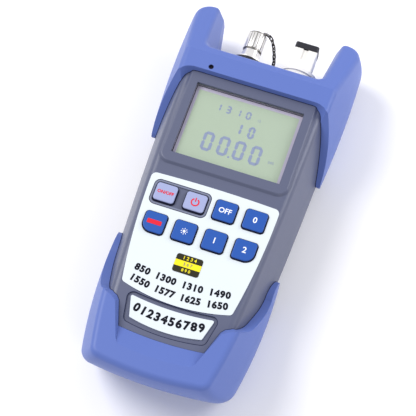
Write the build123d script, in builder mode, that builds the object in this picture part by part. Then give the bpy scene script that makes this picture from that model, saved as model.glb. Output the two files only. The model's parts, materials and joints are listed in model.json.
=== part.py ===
from build123d import *
import math
import os

os.makedirs("parts", exist_ok=True)

# The meter lies on the back of its two rubber boots, at z = 0, with its ports toward +Y.
# Levels of the case and boots, from the table up
housing_back_z = 2.5
parting_z = 15.5
shoulder_z = 33.0
keypad_z = 41.8
screen_z = 43.0
boot_front_z = 46.0
case_wall = 2.2
boot_gap = 0.1
press_gap = 0.05

# Ends of the case, and how far its lower end bows
housing_top_y = 69.6
housing_bow = 2.5
housing_corner = 8.0
boot_bow = 2.6

# Horns of the upper boot: their front slopes back from the ridge to the tips
meter_top_y = 100.0
ridge_y = 65.2
horn_slope = 0.457

# Screen
screen_size = (54.0, 39.2)
screen_y = 30.1
screen_lip = 1.5
frame_width = 64.8
frame_bottom_y = 4.4
frame_top_y = 62.4
frame_corner = 5.4
frame_taper = 45
pane_thick = 1.2
pane_overlap = 1.5
panel_thick = 2.4

# Keys
key_pitch = 14.7
key_rows_y = (-11.0, -26.8)
key_size = (10.5, 10.3)
small_key_size = (10.3, 9.2)
key_top_z = 43.2
key_side_gap = 0.5
key_corner = 1.5
key_wide_corner = 4.5
key_flange_reach = 1.2
key_flange_thick = 1.3
key_post_radius = 2.0
key_travel = 0.8
switch_gap = 0.3
switch_height = 3.0

# Boards and screws
board_front_z = 30.0
board_thick = 1.6
board_size = (58.0, 118.0)
board_y = 1.0
board_screw_places = ((-25.5, 54.0), (25.5, 54.0), (-25.5, -52.0), (25.5, -52.0))
case_screw_places = ((-32.5, 57.0), (32.5, 57.0), (-26.0, -66.0), (26.0, -66.0))
lamp_place = (-23.0, 58.0)

# Cells and their compartment
cell_radius = 7.25
cell_length = 50.5
cell_spacing = 0.3
cell_side_room = 0.55
contact_room = 3.75
cell_pitch = 2 * cell_radius + cell_spacing
cell_z = 12.25
bay_size = (2 * (cell_pitch + cell_radius + cell_side_room), cell_length + 2 * contact_room)
bay_y = -14.5
bay_wall = 1.6
bay_roof_z = 20.2
door_rim = 2.4
door_thick = 1.4
door_gap = 0.3

# Optical ports, on axes along +Y
port_z = 22.5
screw_port_x = -10.5
push_port_x = 15.5
panel_y = 65.4
fiber_bore = 1.25


def curve_through(y1, w1, y2, w2, y3, w3):
    # Half the width as a parabola through three stations
    def half(y):
        first = w1 * (y - y2) * (y - y3) / ((y1 - y2) * (y1 - y3))
        second = w2 * (y - y1) * (y - y3) / ((y2 - y1) * (y2 - y3))
        third = w3 * (y - y1) * (y - y2) / ((y3 - y1) * (y3 - y2))
        return first + second + third

    return half


housing_half = curve_through(71.4, 42.4, -10.0, 40.1, -88.0, 35.0)
upper_half = curve_through(100.0, 44.9, 66.0, 45.6, 30.0, 43.8)
lower_half = curve_through(-25.0, 40.3, -50.0, 41.0, -88.0, 36.8)


def section(z, half, inset, top_y, bottom_y, bow, top_corner, bottom_corner):
    # One level of a case or boot: two bowed sides, a straight top and a bowed bottom
    middle_y = (top_y + bottom_y) / 2
    top_x = half(top_y) - inset
    middle_x = half(middle_y) - inset
    bottom_x = half(bottom_y) - inset
    with BuildSketch(Plane.XY.offset(z)) as level:
        with BuildLine():
            ThreePointArc((bottom_x, bottom_y), (middle_x, middle_y), (top_x, top_y))
            Line((top_x, top_y), (-top_x, top_y))
            ThreePointArc((-top_x, top_y), (-middle_x, middle_y), (-bottom_x, bottom_y))
            if bow:
                ThreePointArc((-bottom_x, bottom_y), (0, bottom_y - bow), (bottom_x, bottom_y))
            else:
                Line((-bottom_x, bottom_y), (bottom_x, bottom_y))
        make_face()
        if top_corner:
            fillet(level.vertices().group_by(Axis.Y)[-1], top_corner)
        if bottom_corner:
            fillet(level.vertices().group_by(Axis.Y)[0], bottom_corner)
    return level.sketch


def profile(points):
    # A side view in the YZ plane, as wide as the meter once extruded both ways
    with BuildSketch(Plane.YZ) as side:
        with BuildLine():
            Polyline(*points, close=True)
        make_face()
    return side.sketch


def case_section(level, grow):
    z, inset, bottom_y = level
    top_y = housing_top_y + grow
    corner = housing_corner + grow
    return section(z, housing_half, inset - grow, top_y, bottom_y - grow, housing_bow, 0, corner)


def case_front(grow, edge_radius):
    # Front half of the case, grown outward by a distance, with its hidden top edge cut off
    levels = (
        (parting_z, 0.0, -88.5),
        (shoulder_z, 4.2, -93.5),
        (keypad_z + grow, 7.3, -93.1),
    )
    slope_start = (64.5 + grow, keypad_z + 2 + grow)
    slope_end = (housing_top_y + 1 + grow, 34.5 + grow)
    with BuildPart() as body:
        loft([case_section(level, grow) for level in levels])
        if edge_radius:
            top = body.faces().sort_by(Axis.Z)[-1]
            fillet(top.edges().filter_by(lambda e: e.center().Y < housing_top_y - 1), edge_radius)
        extrude(profile([slope_start, (80, 80), slope_end]), amount=60, both=True, mode=Mode.SUBTRACT)
    return body.part


def case_rear(grow, edge_radius):
    levels = ((housing_back_z - grow, 4.5, -82.0), (parting_z, 0.0, -88.5))
    with BuildPart() as body:
        loft([case_section(level, grow) for level in levels])
        if edge_radius:
            bottom = body.faces().sort_by(Axis.Z)[0]
            fillet(bottom.edges().filter_by(lambda e: e.center().Y < housing_top_y - 1), edge_radius)
    return body.part


def screen_frame(grow):
    # Raised plateau with sloping sides around the screen, running up under the boot
    bottom_y = frame_bottom_y - grow
    top_y = frame_top_y + grow
    with BuildPart() as block:
        with BuildSketch(Plane.XY.offset(keypad_z)) as outline:
            with Locations((0, (top_y + bottom_y) / 2)):
                RectangleRounded(frame_width + 2 * grow, top_y - bottom_y, frame_corner + grow)
        extrude(outline.sketch, amount=-1)
        extrude(outline.sketch, amount=screen_z + grow - keypad_z, taper=frame_taper)
        if not grow:
            fillet(block.faces().sort_by(Axis.Z)[-1].edges(), 0.9)
    return block.part


def key_outline(size, grow, wide_corner):
    # Plan of one key about its own centre; wide_corner is -1 or 1 for a well-rounded lower corner
    with BuildSketch(mode=Mode.PRIVATE) as plan:
        Rectangle(size[0] + 2 * grow, size[1] + 2 * grow)
        corners = plan.vertices()
        wide = corners.filter_by(lambda v: wide_corner and v.Y < 0 and v.X * wide_corner > 0)
        plain = [corner for corner in corners if corner not in wide]
        fillet(plain, key_corner + grow)
        if wide:
            lower = plan.vertices().filter_by(lambda v: v.Y < 0 and abs(v.X) > size[0] / 2 - 0.01)
            fillet(lower.sort_by(Axis.X)[-1 if wide_corner > 0 else 0], key_wide_corner + grow)
    return plan.sketch


key_names = (
    ("key_laser", "key_power", "key_auto_off", "key_zero"),
    ("key_relative", "key_light", "key_db", "key_wavelength"),
)
keys = []
for row, names in enumerate(key_names):
    for column, name in enumerate(names):
        size = small_key_size if row == 0 and column < 2 else key_size
        wide_corner = {"key_relative": -1, "key_wavelength": 1}.get(name, 0)
        place = ((column - 1.5) * key_pitch, key_rows_y[row])
        keys.append((name, place, size, wide_corner))


def across(y):
    # Plane facing -Y at a station; a negative extrusion from it runs toward +Y
    return Plane.XZ.offset(-y)


def write(piece, name):
    piece.part.label = name
    export_step(piece.part, f"parts/{name}.step")


# Front housing
front_body = case_front(0, 4.0)
front_hollow = case_front(-case_wall, 0)
frame_body = screen_frame(0)
inner_face_z = keypad_z - case_wall
pane_top_z = screen_z - screen_lip
pane_bottom_z = pane_top_z - pane_thick
pane_size = (screen_size[0] + 2 * pane_overlap, screen_size[1] + 2 * pane_overlap)

# The overlay's outline: a flat top bow, tapering sides and a rounded bottom
overlay_thick = 0.5
overlay_proud = 0.2


def overlay_outline(grow):
    with BuildSketch(Plane.XY.offset(keypad_z - overlay_thick + overlay_proud)) as plan:
        with BuildLine():
            ThreePointArc((31.6 + grow, -2.0 + grow), (0, -1.2 + grow), (-31.6 - grow, -2.0 + grow))
            Spline(
                (-31.6 - grow, -2.0 + grow),
                (-31.2 - grow, -17.0),
                (-29.3 - grow, -40.0),
                (-26.6 - grow, -58.5 - grow),
            )
            ThreePointArc((-26.6 - grow, -58.5 - grow), (0, -62.5 - grow), (26.6 + grow, -58.5 - grow))
            Spline(
                (26.6 + grow, -58.5 - grow),
                (29.3 + grow, -40.0),
                (31.2 + grow, -17.0),
                (31.6 + grow, -2.0 + grow),
            )
        make_face()
        fillet(plan.vertices().group_by(Axis.Y)[-1], 2.5)
        fillet(plan.vertices().group_by(Axis.Y)[0], 2.0)
    return plan.sketch


def strip_outline(grow):
    # Small plate under the title: bowed top and bottom, tapering sides
    with BuildSketch(Plane.XY.offset(keypad_z)) as plan:
        with BuildLine():
            top_x = 20.2 + grow
            bottom_x = 17.4 + grow
            top_y = -63.5 + grow
            bottom_y = -74.0 - grow
            ThreePointArc((top_x, top_y), (0, top_y - 1.6), (-top_x, top_y))
            Line((-top_x, top_y), (-bottom_x, bottom_y))
            ThreePointArc((-bottom_x, bottom_y), (0, bottom_y - 2.1), (bottom_x, bottom_y))
            Line((bottom_x, bottom_y), (top_x, top_y))
        make_face()
        fillet(plan.vertices(), 0.7 + grow)
    return plan.sketch


strip_border = 2.2
strip_depth = 0.6
pair_recess_size = (28.4, 13.3)
pair_recess_place = (-14.7, -11.05)

with BuildPart() as front_housing:
    add(front_body)
    add(frame_body)
    add(front_hollow, mode=Mode.SUBTRACT)
    # Screen opening, with a rebate behind it for the pane
    with BuildSketch(Plane.XY.offset(inner_face_z - 1)):
        with Locations((0, screen_y)):
            Rectangle(*screen_size)
    extrude(amount=screen_z - inner_face_z + 2, mode=Mode.SUBTRACT)
    with BuildSketch(Plane.XY.offset(inner_face_z - 1)):
        with Locations((0, screen_y)):
            Rectangle(pane_size[0] + 2 * boot_gap, pane_size[1] + 2 * boot_gap)
    extrude(amount=pane_top_z - inner_face_z + 1, mode=Mode.SUBTRACT)
    # Bed of the overlay and the stepped bed of the plate below it
    extrude(overlay_outline(boot_gap), amount=2, mode=Mode.SUBTRACT)
    extrude(strip_outline(strip_border), amount=-strip_depth, mode=Mode.SUBTRACT)
    # Key holes
    for name, place, size, wide_corner in keys:
        with BuildSketch(Plane.XY.offset(inner_face_z - 1)):
            with Locations(place):
                add(key_outline(size, key_side_gap, wide_corner))
        extrude(amount=case_wall + 2, mode=Mode.SUBTRACT)
    # Posts for the case screws and the board screws
    with BuildSketch(Plane.XY.offset(parting_z)):
        with Locations(*case_screw_places):
            Circle(3.0)
    extrude(amount=inner_face_z - parting_z + 0.5)
    with BuildSketch(Plane.XY.offset(parting_z)):
        with Locations(*case_screw_places):
            Circle(1.4)
    extrude(amount=14.0, mode=Mode.SUBTRACT)
    with BuildSketch(Plane.XY.offset(board_front_z)):
        with Locations(*board_screw_places):
            Circle(2.5)
    extrude(amount=inner_face_z - board_front_z + 0.5)
    with BuildSketch(Plane.XY.offset(board_front_z)):
        with Locations(*board_screw_places):
            Circle(1.05)
    extrude(amount=6.0, mode=Mode.SUBTRACT)
    # Hole over the lamp
    with BuildSketch(Plane.XY.offset(inner_face_z - 1)):
        with Locations(lamp_place):
            Circle(1.3)
    extrude(amount=8, mode=Mode.SUBTRACT)
    # Holes for the two ports through the end wall
    with BuildSketch(across(housing_top_y + 1)):
        with Locations((screw_port_x, port_z)):
            Circle(8.7)
        with Locations((push_port_x, port_z)):
            Circle(9.2)
    extrude(amount=case_wall + 2.5, mode=Mode.SUBTRACT)
write(front_housing, "front_housing")

# Rear housing with the battery bay
rear_body = case_rear(0, 3.0)
rear_hollow = case_rear(-case_wall, 0)
floor_z = housing_back_z + case_wall
door_bed_z = housing_back_z + door_thick + boot_gap
with BuildPart() as rear_housing:
    add(rear_body)
    add(rear_hollow, mode=Mode.SUBTRACT)
    with BuildSketch(Plane.XY.offset(floor_z - 1)):
        with Locations((0, bay_y)):
            Rectangle(bay_size[0] + 2 * bay_wall, bay_size[1] + 2 * bay_wall)
    extrude(amount=bay_roof_z + bay_wall - floor_z + 1)
    with BuildSketch(Plane.XY.offset(floor_z)):
        with Locations(*case_screw_places):
            Circle(4.2)
    extrude(amount=parting_z - floor_z)
    with BuildSketch(Plane.XY):
        with Locations((0, bay_y)):
            Rectangle(*bay_size)
    extrude(amount=bay_roof_z, mode=Mode.SUBTRACT)
    with BuildSketch(Plane.XY):
        with Locations((0, bay_y)):
            Rectangle(bay_size[0] + 2 * door_rim, bay_size[1] + 2 * door_rim)
    extrude(amount=door_bed_z, mode=Mode.SUBTRACT)
    with BuildSketch(Plane.XY):
        with Locations(*case_screw_places):
            Circle(2.8)
    extrude(amount=6.0, mode=Mode.SUBTRACT)
    with BuildSketch(Plane.XY):
        with Locations(*case_screw_places):
            Circle(1.7)
    extrude(amount=parting_z, mode=Mode.SUBTRACT)
    with BuildSketch(across(housing_top_y + 1)):
        with Locations((screw_port_x, port_z)):
            Circle(8.7)
        with Locations((push_port_x, port_z)):
            Circle(9.2)
    extrude(amount=case_wall + 2.5, mode=Mode.SUBTRACT)
write(rear_housing, "rear_housing")

# Battery door
with BuildPart() as battery_door:
    with BuildSketch(Plane.XY.offset(housing_back_z)):
        with Locations((0, bay_y)):
            Rectangle(bay_size[0] + 2 * (door_rim - door_gap), bay_size[1] + 2 * (door_rim - door_gap))
    extrude(amount=door_thick)
    with BuildSketch(Plane.XY.offset(housing_back_z + door_thick)):
        with Locations((0, bay_y)):
            Rectangle(bay_size[0] - 2 * door_gap, bay_size[1] - 2 * door_gap)
    extrude(amount=0.7)
    with BuildSketch(Plane.XY.offset(housing_back_z)):
        with Locations((0, bay_y + bay_size[1] / 2 - 5)):
            SlotOverall(16, 6)
    extrude(amount=0.8, mode=Mode.SUBTRACT)
write(battery_door, "battery_door")

# Three cells, the middle one the other way round
cell_nub = 1.0
for number in (1, 2, 3):
    cell_x = (number - 2) * cell_pitch
    start_y = bay_y - cell_length / 2
    can_y = start_y + cell_nub if number == 2 else start_y
    nub_y = start_y if number == 2 else start_y + cell_length - cell_nub
    with BuildPart() as battery:
        with BuildSketch(across(can_y)):
            with Locations((cell_x, cell_z)):
                Circle(cell_radius)
        extrude(amount=-(cell_length - cell_nub))
        with BuildSketch(across(nub_y)):
            with Locations((cell_x, cell_z)):
                Circle(2.75)
        extrude(amount=-cell_nub)
    write(battery, f"battery_{number}")

# Leaf contacts at both ends of the bay, bowed toward the cells
leaf_thick = 0.4
leaf_reach = contact_room - 0.75
with BuildPart() as battery_contacts:
    for side in (-1, 1):
        wall_y = bay_y + side * (bay_size[1] / 2 - press_gap)
        for cell in (-1, 0, 1):
            with BuildSketch(Plane.YZ.offset(cell * cell_pitch)):
                with BuildLine():
                    back = Line((wall_y, cell_z - 5), (wall_y, cell_z + 5))
                    bend = Line((wall_y, cell_z + 5), (wall_y - side * leaf_reach, cell_z))
                    Line(bend @ 1, (wall_y - side * leaf_reach + side * leaf_thick, cell_z - 0.6))
                    inner = (wall_y - side * leaf_thick, cell_z + 4.0)
                    Line((wall_y - side * leaf_reach + side * leaf_thick, cell_z - 0.6), inner)
                    Line(inner, (wall_y - side * leaf_thick, cell_z - 5))
                    Line((wall_y - side * leaf_thick, cell_z - 5), back @ 0)
                make_face()
            extrude(amount=3.0, both=True)
write(battery_contacts, "battery_contacts")

# Keypad overlay, its opening for the pair of small keys, and its plates
with BuildPart() as keypad_overlay:
    extrude(overlay_outline(0), amount=overlay_thick)
    with BuildSketch(Plane.XY.offset(keypad_z - 1)):
        with Locations(pair_recess_place):
            RectangleRounded(*pair_recess_size, 3.0)
    extrude(amount=3, mode=Mode.SUBTRACT)
    for name, place, size, wide_corner in keys:
        if size == key_size:
            with BuildSketch(Plane.XY.offset(keypad_z - 1)):
                with Locations(place):
                    add(key_outline(size, key_side_gap, wide_corner))
            extrude(amount=3, mode=Mode.SUBTRACT)
write(keypad_overlay, "keypad_overlay")

with BuildPart() as lower_label:
    extrude(strip_outline(0), amount=-strip_depth)
    extrude(strip_outline(0), amount=0.1)
write(lower_label, "lower_label")

sticker_place = (-0.35, -41.9)
with BuildPart() as inspection_sticker:
    with BuildSketch(Plane.XY.offset(keypad_z + overlay_proud)):
        with Locations(sticker_place):
            RectangleRounded(12.7, 9.2, 1.2)
    extrude(amount=0.15)
write(inspection_sticker, "inspection_sticker")

# Keys, each with a flange behind the case wall and a post over its switch
flange_front_z = inner_face_z - key_side_gap
switch_top_z = board_front_z + switch_height
for name, place, size, wide_corner in keys:
    with BuildPart() as key:
        with BuildSketch(Plane.XY.offset(flange_front_z)):
            with Locations(place):
                add(key_outline(size, 0, wide_corner))
        extrude(amount=key_top_z - flange_front_z)
        fillet(key.faces().sort_by(Axis.Z)[-1].edges(), 0.6)
        with BuildSketch(Plane.XY.offset(flange_front_z)):
            with Locations(place):
                add(key_outline(key_size, key_flange_reach, 0))
        extrude(amount=-key_flange_thick)
        with BuildSketch(Plane.XY.offset(flange_front_z)):
            with Locations(place):
                Circle(key_post_radius)
        extrude(amount=-(flange_front_z - switch_top_z - switch_gap - key_travel))
    write(key, name)

with BuildPart() as key_switches:
    for name, place, size, wide_corner in keys:
        with BuildSketch(Plane.XY.offset(board_front_z)):
            with Locations(place):
                Rectangle(6, 6)
        extrude(amount=switch_height - 0.8)
        with BuildSketch(Plane.XY.offset(board_front_z)):
            with Locations(place):
                Circle(1.7)
        extrude(amount=switch_height)
write(key_switches, "key_switches")

# Screen stack: pane, panel, backlight and its frame, joined to the board by two strips
with BuildPart() as screen_pane:
    with BuildSketch(Plane.XY.offset(pane_bottom_z)):
        with Locations((0, screen_y)):
            Rectangle(*pane_size)
    extrude(amount=pane_thick)
write(screen_pane, "screen_pane")

panel_top_z = pane_bottom_z - 0.2
panel_bottom_z = panel_top_z - panel_thick
panel_size = (screen_size[0] + 2.0, screen_size[1] + 2.0)
with BuildPart() as screen_panel:
    with BuildSketch(Plane.XY.offset(panel_bottom_z)):
        with Locations((0, screen_y)):
            Rectangle(*panel_size)
    extrude(amount=panel_thick)
write(screen_panel, "screen_panel")

light_size = (panel_size[0] - 2.0, panel_size[1] - 5.2)
light_bottom_z = panel_bottom_z - 3.1
with BuildPart() as screen_backlight:
    with BuildSketch(Plane.XY.offset(light_bottom_z)):
        with Locations((0, screen_y)):
            Rectangle(*light_size)
    extrude(amount=2.9)
write(screen_backlight, "screen_backlight")

with BuildPart() as screen_holder:
    with BuildSketch(Plane.XY.offset(board_front_z)):
        with Locations((0, screen_y)):
            Rectangle(*light_size)
            Rectangle(light_size[0] - 5, light_size[1] - 5, mode=Mode.SUBTRACT)
    extrude(amount=light_bottom_z - board_front_z)
write(screen_holder, "screen_holder")

for name, side in (("screen_strip_upper", 1), ("screen_strip_lower", -1)):
    with BuildPart() as strip:
        with BuildSketch(Plane.XY.offset(board_front_z)):
            with Locations((0, screen_y + side * (panel_size[1] / 2 - 1.3))):
                Rectangle(52, 1.6)
        extrude(amount=panel_bottom_z - board_front_z)
    write(strip, name)

# Main board with its parts, and its screws into the front housing
board_back_z = board_front_z - board_thick
with BuildPart() as main_board:
    with BuildSketch(Plane.XY.offset(board_back_z)):
        with Locations((0, board_y)):
            RectangleRounded(*board_size, 3.0)
        with Locations(*board_screw_places):
            Circle(1.3, mode=Mode.SUBTRACT)
    extrude(amount=board_thick)
write(main_board, "main_board")

with BuildPart() as controller_chip:
    with BuildSketch(Plane.XY.offset(board_back_z)):
        with Locations((0, 34)):
            Rectangle(12, 12)
    extrude(amount=-1.4)
write(controller_chip, "controller_chip")

with BuildPart() as board_connectors:
    with BuildSketch(Plane.XY.offset(board_back_z)):
        with Locations((screw_port_x, 48), (push_port_x, 48), (0, -50)):
            Rectangle(8, 4)
    extrude(amount=-1.2)
write(board_connectors, "board_connectors")

with BuildPart() as indicator_lamp:
    with BuildSketch(Plane.XY.offset(board_front_z)):
        with Locations(lamp_place):
            Circle(1.6)
    extrude(amount=3)
    with BuildSketch(Plane.XY.offset(board_front_z)):
        with Locations(lamp_place):
            Circle(1.15)
    extrude(amount=boot_front_z - 0.8 - board_front_z)
    fillet(indicator_lamp.faces().sort_by(Axis.Z)[-1].edges(), 0.6)
write(indicator_lamp, "indicator_lamp")

with BuildPart() as board_screws:
    for place in board_screw_places:
        with BuildSketch(Plane.XY.offset(board_back_z)):
            with Locations(place):
                Circle(2.0)
        extrude(amount=-1.4)
        with BuildSketch(Plane.XY.offset(board_back_z)):
            with Locations(place):
                Circle(1.0)
        extrude(amount=board_thick + 5)
write(board_screws, "board_screws")

with BuildPart() as case_screws:
    for place in case_screw_places:
        with BuildSketch(Plane.XY.offset(6.0)):
            with Locations(place):
                Circle(2.5)
        extrude(amount=-2.0)
        with BuildSketch(Plane.XY.offset(6.0)):
            with Locations(place):
                Circle(1.35)
        extrude(amount=22.0)
write(case_screws, "case_screws")


def tube(start_y, end_y, axis_x, outer, inner):
    # Round sleeve along +Y, solid if its inner radius is zero
    with BuildSketch(across(start_y)) as ring:
        with Locations((axis_x, port_z)):
            Circle(outer)
            if inner:
                Circle(inner, mode=Mode.SUBTRACT)
    extrude(ring.sketch, amount=start_y - end_y)


# Panel that carries both ports inside the end wall
with BuildPart() as port_panel:
    with BuildSketch(across(panel_y)):
        with Locations((0, 20.5)):
            Rectangle(66, 26)
        with Locations((screw_port_x, port_z)):
            Circle(4.1, mode=Mode.SUBTRACT)
        with Locations((push_port_x, port_z)):
            Circle(1.8, mode=Mode.SUBTRACT)
    extrude(amount=panel_y - housing_top_y + case_wall)
write(port_panel, "port_panel")

adapter_start = panel_y - 3.2
module_end = adapter_start - 0.4
with BuildPart() as laser_module:
    tube(module_end - 20.0, module_end, screw_port_x, 4.4, 0)
    tube(module_end - 3.4, module_end, screw_port_x, 5.6, 0)
write(laser_module, "laser_module")

with BuildPart() as photodiode:
    tube(52.0, 64.0, push_port_x, 3.8, 0)
    tube(60.0, 64.4, push_port_x, 5.4, 0)
write(photodiode, "photodiode")

# Threaded port: base, chain washer, lock nut and barrel, with the guide sleeve inside
base_y = housing_top_y - case_wall
screw_base_end = 78.0
washer_thick = 0.8
shoulder_start = screw_base_end + washer_thick + 0.2
shoulder_end = shoulder_start + 5.3
shoulder_radius = 4.65
barrel_length = 8.2
barrel_end = shoulder_end + barrel_length
barrel_radius = 4.0
nut_thick = 2.6
with BuildPart() as screw_port_base:
    tube(base_y, screw_base_end, screw_port_x, 8.5, barrel_radius + 0.1)
    fillet(screw_port_base.faces().sort_by(Axis.Y)[-1].edges().sort_by(SortBy.RADIUS)[-1], 0.8)
write(screw_port_base, "screw_port_base")

with BuildPart() as screw_adapter:
    tube(adapter_start, barrel_end, screw_port_x, barrel_radius, 3.0)
    tube(adapter_start, 76.0, screw_port_x, barrel_radius, 1.65)
    # Shoulder with six flats over the washer
    with BuildSketch(across(shoulder_start)):
        with Locations((screw_port_x, port_z)):
            Circle(shoulder_radius)
            RegularPolygon(shoulder_radius + 0.25, 6, mode=Mode.INTERSECT)
            Circle(3.0, mode=Mode.SUBTRACT)
    extrude(amount=shoulder_start - shoulder_end)
write(screw_adapter, "screw_adapter")

with BuildPart() as screw_port_sleeve:
    tube(70.0, barrel_end - 1.0, screw_port_x, 1.6, fiber_bore)
write(screw_port_sleeve, "screw_port_sleeve")

# Nut that holds the adapter from inside the panel
with BuildPart() as port_nut:
    with BuildSketch(across(panel_y - 0.1)):
        with Locations((screw_port_x, port_z)):
            RegularPolygon(5.6, 6)
            Circle(barrel_radius + press_gap, mode=Mode.SUBTRACT)
    extrude(amount=nut_thick)
write(port_nut, "port_nut")

# Washer whose ear holds the inner end of the chain
washer_ear_angle = -70
washer_ear_reach = 8.6
ear_radius = 1.6
ear_hole = 0.9
ear_thick = washer_thick


def ear_centre(angle, reach):
    turn = math.radians(angle)
    return (screw_port_x + reach * math.cos(turn), port_z + reach * math.sin(turn))


with BuildPart() as chain_washer:
    with BuildSketch(across(screw_base_end + 0.1)):
        with Locations((screw_port_x, port_z)):
            Circle(7.4)
        with Locations(ear_centre(washer_ear_angle, washer_ear_reach)):
            Circle(ear_radius)
            Circle(ear_hole, mode=Mode.SUBTRACT)
        with Locations((screw_port_x, port_z)):
            Circle(barrel_radius + press_gap, mode=Mode.SUBTRACT)
    extrude(amount=-ear_thick)
write(chain_washer, "chain_washer")

# Cap of the threaded port, and the tab that turns on the rivet in its end
cap_radius = 4.7
cap_start = shoulder_end + 0.4
cap_end = barrel_end + 2.5
rivet_radius = 0.9
rivet_end = cap_end + 1.3
with BuildPart() as screw_cap:
    tube(cap_start, cap_end, screw_port_x, cap_radius, 0)
    fillet(screw_cap.faces().sort_by(Axis.Y)[-1].edges(), 0.5)
    tube(cap_end - 1, rivet_end, screw_port_x, rivet_radius, 0)
    tube(cap_end + 0.9, rivet_end, screw_port_x, 1.5, 0)
    with BuildSketch(across(cap_start - 1)) as bore:
        with Locations((screw_port_x, port_z)):
            Circle(barrel_radius + 0.1)
    extrude(bore.sketch, amount=cap_start - 1 - (barrel_end + 0.4), mode=Mode.SUBTRACT)
write(screw_cap, "screw_cap")

tab_y = cap_end + 0.05
tab_ear_angle = 36
tab_ear_reach = 5.4
with BuildPart() as cap_swivel:
    with BuildSketch(across(tab_y)):
        with Locations((screw_port_x, port_z)):
            Circle(2.2)
        with Locations(Location((screw_port_x, port_z), tab_ear_angle)):
            with Locations((tab_ear_reach / 2, 0)):
                Rectangle(tab_ear_reach, 1.8)
        with Locations(ear_centre(tab_ear_angle, tab_ear_reach)):
            Circle(ear_radius)
            Circle(ear_hole, mode=Mode.SUBTRACT)
        with Locations((screw_port_x, port_z)):
            Circle(rivet_radius + press_gap, mode=Mode.SUBTRACT)
    extrude(amount=-ear_thick)
write(cap_swivel, "cap_swivel")

# Chain between the two ears: alternate links turn a quarter about its path
tab_ear = ear_centre(tab_ear_angle, tab_ear_reach)
washer_ear = ear_centre(washer_ear_angle, washer_ear_reach)
link_wire = 0.4
link_width = 2.0
link_inner = 2.8
end_reach = (link_inner + link_wire) / 2
ear_direction = math.radians(washer_ear_angle)
leave = (0.72, -0.06, -0.691)
arrive = (-math.cos(ear_direction), 0, -math.sin(ear_direction))
chain_start = (
    tab_ear[0] + end_reach * leave[0],
    tab_y + ear_thick / 2 + end_reach * leave[1],
    tab_ear[1] + end_reach * leave[2],
)
chain_end = (
    washer_ear[0] - end_reach * arrive[0],
    screw_base_end + 0.1 + ear_thick / 2,
    washer_ear[1] - end_reach * arrive[2],
)
chain_path = Spline(
    chain_start,
    (-1.9, 93.2, 21.3),
    (-0.3, 90.6, 15.6),
    (0.3, 88.3, 10.3),
    (-0.8, 86.0, 6.0),
    (-2.8, 83.2, 4.4),
    (-4.9, 80.4, 5.5),
    (-6.1, 78.8, 9.2),
    chain_end,
    tangents=(leave, arrive),
)
link_count = 19
chain_lean = math.radians(45)


def link_frame(number):
    # The loop hangs in a slanting plane, so the links lean toward it between the two ears
    share = number / (link_count - 1)
    along = chain_path.tangent_at(share)
    lean = chain_lean * math.sin(math.pi * share)
    across_loop = Vector(math.cos(lean), -math.sin(lean), 0)
    side = (across_loop - along * along.dot(across_loop)).normalized()
    if number % 2:
        side = along.cross(side)
    return Plane(origin=chain_path.position_at(share), x_dir=along, z_dir=side)


with BuildPart() as cap_chain:
    for number in range(link_count):
        with BuildSketch(link_frame(number).offset(-link_wire / 2)) as link:
            Rectangle(link_inner + 2 * link_wire, link_width)
            chamfer(link.vertices(), 0.55)
            Rectangle(link_inner, link_width - 2 * link_wire, mode=Mode.SUBTRACT)
        extrude(link.sketch, amount=link_wire)
write(cap_chain, "cap_chain")

# Push-in port: round base with a flange, square adapter, guide sleeve and dust cap
push_flange_y = (77.5, 79.2)
push_flange_radius = 9.9
push_body_size = (11.9, 9.4)
push_body_end = 92.4
with BuildPart() as push_port_base:
    tube(base_y, push_flange_y[1], push_port_x, 9.0, 0)
    tube(push_flange_y[0], push_flange_y[1], push_port_x, push_flange_radius, 0)
    fillet(push_port_base.faces().sort_by(Axis.Y)[-1].edges(), 0.4)
    with BuildSketch(across(base_y - 1)) as pocket:
        with Locations((push_port_x, port_z)):
            Rectangle(9.4 + 2 * press_gap, 7.2 + 2 * press_gap)
    extrude(pocket.sketch, amount=-14, mode=Mode.SUBTRACT)
write(push_port_base, "push_port_base")

with BuildPart() as push_adapter:
    with BuildSketch(across(push_flange_y[1] + 0.1)):
        with Locations((push_port_x, port_z)):
            Rectangle(*push_body_size)
    extrude(amount=push_flange_y[1] + 0.1 - push_body_end)
    fillet(push_adapter.edges().filter_by(Axis.Y), 0.6)
    with BuildSketch(across(68.5)):
        with Locations((push_port_x, port_z)):
            Rectangle(9.4, 7.2)
    extrude(amount=-12)
    with BuildSketch(across(82.0)):
        with Locations((push_port_x, port_z)):
            Rectangle(9.0, 7.0)
    extrude(amount=-12, mode=Mode.SUBTRACT)
    with BuildSketch(across(60.0)):
        with Locations((push_port_x, port_z)):
            Circle(1.65)
    extrude(amount=-30, mode=Mode.SUBTRACT)
    with BuildSketch(across(86.4)):
        with Locations((push_port_x, port_z + push_body_size[1] / 2)):
            Rectangle(2.6, 1.6)
    extrude(amount=-8, mode=Mode.SUBTRACT)
write(push_adapter, "push_adapter")

with BuildPart() as push_port_sleeve:
    tube(70.0, 90.6, push_port_x, 1.6, fiber_bore)
write(push_port_sleeve, "push_port_sleeve")

dust_cap_start = push_body_end + 0.3
dust_cap_end = 95.9
with BuildPart() as push_dust_cap:
    with BuildSketch(across(dust_cap_start)):
        with Locations((push_port_x, port_z)):
            RectangleRounded(12.1, 9.8, 1.2)
    extrude(amount=dust_cap_start - dust_cap_end)
    fillet(push_dust_cap.faces().sort_by(Axis.Y)[-1].edges(), 0.5)
    with BuildSketch(across(83.0)):
        with Locations((push_port_x, port_z)):
            Rectangle(8.4, 6.4)
            Circle(2.1, mode=Mode.SUBTRACT)
    extrude(amount=83.0 - dust_cap_start)
write(push_dust_cap, "push_dust_cap")

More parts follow.
